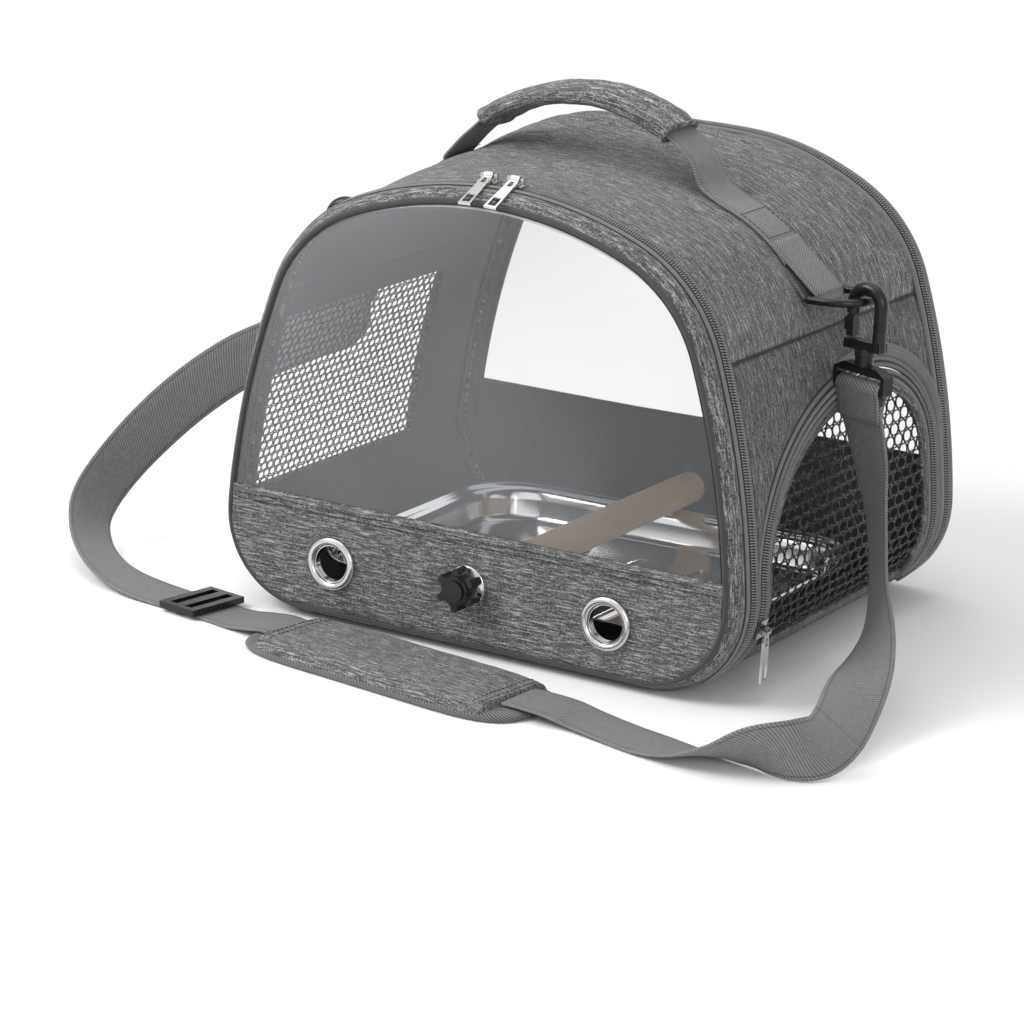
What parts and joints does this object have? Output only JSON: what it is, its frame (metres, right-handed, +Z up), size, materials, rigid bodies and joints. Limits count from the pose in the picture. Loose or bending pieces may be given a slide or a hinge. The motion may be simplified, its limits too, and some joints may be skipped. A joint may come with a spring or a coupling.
{
  "type": "pet travel carrier",
  "caption": "Arched soft-sided bird carrier with clear zipped ends, mesh side door, perch, steel tray, padded grip and shoulder strap.",
  "frame": {"origin": "middle of the underside of the base panel, on the floor", "axes": "+X towards the side with the mesh door, along the arch's width; +Y from the front window to the rear; +Z up"},
  "size_m": [0.5372, 0.3567, 0.293],
  "materials": {
    "heather": "woven melange polyester, padded",
    "lining": "plain woven lining",
    "webbing": "ribbed polyester webbing",
    "piping": "fabric folded over a cord",
    "zip": "nylon coil on woven tape",
    "mesh": "coated polyester mesh",
    "clear_pvc": "clear flexible sheet",
    "black_plastic": "moulded acetal",
    "nickel": "nickel plate",
    "steel": "pressed stainless steel",
    "wood": "sanded round rod"
  },
  "bodies": {
    "shell": {"base_panel": "heather", "base_board": "lining", "roof_panel": "heather", "side_panel_left": "heather", "side_panel_right": "heather", "window_mesh_left": "mesh", "mesh_binding_left": "webbing", "front_body_zip": "zip", "rear_body_zip": "zip", "rear_body_piping": "piping", "side_body_zip": "zip", "handle_webbing": "webbing", "handle_grip": "heather", "webbing_loop_left": "webbing", "webbing_loop_right": "webbing", "d_ring_left": "black_plastic", "d_ring_right": "black_plastic", "hook_base_left": "black_plastic", "hook_base_right": "black_plastic", "strap_right": "webbing", "strap_front": "webbing", "strap_left": "webbing", "strap_end_left": "webbing", "strap_end_right": "webbing", "shoulder_pad": "heather"},
    "front_door": {"front_window": "clear_pvc", "front_strip": "heather", "front_piping": "piping", "front_band": "heather", "front_door_zip": "zip", "grommet_left": "nickel", "grommet_right": "nickel", "perch_washer": "nickel", "perch_bolt": "nickel", "perch": "wood"},
    "rear_door": {"rear_window": "clear_pvc", "rear_strip": "heather", "rear_piping": "piping", "rear_band": "heather", "rear_door_zip": "zip"},
    "side_door": {"side_mesh": "mesh", "side_mesh_binding": "heather", "side_door_zip": "zip"},
    "tray": {"tray": "steel"},
    "perch_knob": {"perch_knob": "black_plastic"},
    "strap_slide": {"strap_slide": "black_plastic"},
    "snap_hook_left": {"snap_hook_left": "black_plastic"},
    "snap_hook_right": {"snap_hook_right": "black_plastic"},
    "hook_gate_left": {"hook_gate_left": "black_plastic"},
    "hook_gate_right": {"hook_gate_right": "black_plastic"},
    "slider_front_left": {"slider_front_left": "nickel"},
    "slider_front_right": {"slider_front_right": "nickel"},
    "slider_side": {"slider_side": "nickel"},
    "slider_rear": {"slider_rear": "nickel"},
    "pull_front_left": {"pull_front_left": "nickel"},
    "pull_front_right": {"pull_front_right": "nickel"},
    "pull_side": {"pull_side": "nickel"},
    "pull_rear": {"pull_rear": "nickel"}
  },
  "joints": [
    {"name": "front_door", "type": "hinge", "parent": "shell", "child": "front_door", "pos_m": [0, -0.131, 0.004], "axis": [1, 0, 0], "range_deg": [0, 32]},
    {"name": "perch_knob", "type": "hinge", "parent": "front_door", "child": "perch_knob", "pos_m": [0, -0.14, 0.039], "axis": [0, 1, 0], "continuous": true},
    {"name": "rear_door", "type": "hinge", "parent": "shell", "child": "rear_door", "pos_m": [0, 0.131, 0.004], "axis": [-1, 0, 0], "range_deg": [0, 90]},
    {"name": "side_door", "type": "hinge", "parent": "shell", "child": "side_door", "pos_m": [0.145, 0, 0.016], "axis": [0, 1, 0], "range_deg": [0, 80], "deforming": ["strap_right"]},
    {"name": "tray", "type": "slide", "parent": "shell", "child": "tray", "axis": [0, 1, 0], "range_m": [-0.012, 0.012]},
    {"name": "slider_front_left", "type": "hinge", "parent": "front_door", "child": "slider_front_left", "pos_m": [0, -0.113, 0.02856], "axis": [0, 1, 0], "range_deg": [-18, 0]},
    {"name": "slider_front_right", "type": "hinge", "parent": "front_door", "child": "slider_front_right", "pos_m": [0, -0.113, 0.02856], "axis": [0, 1, 0], "range_deg": [0, 18]},
    {"name": "slider_side", "type": "hinge", "parent": "side_door", "child": "slider_side", "pos_m": [0.106, -0.101, 0.055], "axis": [0, -1, 0], "range_deg": [0, 18]},
    {"name": "slider_rear", "type": "hinge", "parent": "rear_door", "child": "slider_rear", "pos_m": [-0.106, 0.118, 0.055], "axis": [0, 1, 0], "range_deg": [0, 20]},
    {"name": "pull_front_left", "type": "hinge", "parent": "slider_front_left", "child": "pull_front_left", "pos_m": [-0.00814, -0.113, 0.2581], "axis": [-0.9994, 0, -0.0354], "range_deg": [0, 190]},
    {"name": "pull_front_right", "type": "hinge", "parent": "slider_front_right", "child": "pull_front_right", "pos_m": [0.00814, -0.113, 0.2581], "axis": [-0.9994, 0, 0.0354], "range_deg": [0, 190]},
    {"name": "pull_side", "type": "hinge", "parent": "slider_side", "child": "pull_side", "pos_m": [0.16387, -0.101, 0.03841], "axis": [0, -1, 0], "range_deg": [0, 110]},
    {"name": "pull_rear", "type": "hinge", "parent": "slider_rear", "child": "pull_rear", "pos_m": [-0.16325, 0.118, 0.0364], "axis": [0, 1, 0], "range_deg": [0, 110]},
    {"name": "snap_hook_left", "type": "hinge", "parent": "shell", "child": "snap_hook_left", "pos_m": [-0.165, -0.006, 0.17], "axis": [0, 0, 1], "range_deg": [-15, 15]},
    {"name": "snap_hook_right", "type": "hinge", "parent": "shell", "child": "snap_hook_right", "pos_m": [0.165, -0.006, 0.17], "axis": [0, 0, 1], "range_deg": [-15, 15]},
    {"name": "hook_gate_left", "type": "hinge", "parent": "snap_hook_left", "child": "hook_gate_left", "pos_m": [-0.1562, -0.0041, 0.1785], "axis": [0.2079, -0.9781, 0], "range_deg": [0, 20], "stiffness_Nm_per_rad": 0.02, "springref_deg": -17.19},
    {"name": "hook_gate_right", "type": "hinge", "parent": "snap_hook_right", "child": "hook_gate_right", "pos_m": [0.1562, -0.0041, 0.1785], "axis": [0.2079, 0.9781, 0], "range_deg": [0, 20], "stiffness_Nm_per_rad": 0.02, "springref_deg": -17.19},
    {"name": "strap_slide", "type": "slide", "parent": "shell", "child": "strap_slide", "axis": [0.9848, -0.1736, 0], "range_m": [-0.012, 0.01]}
  ]
}
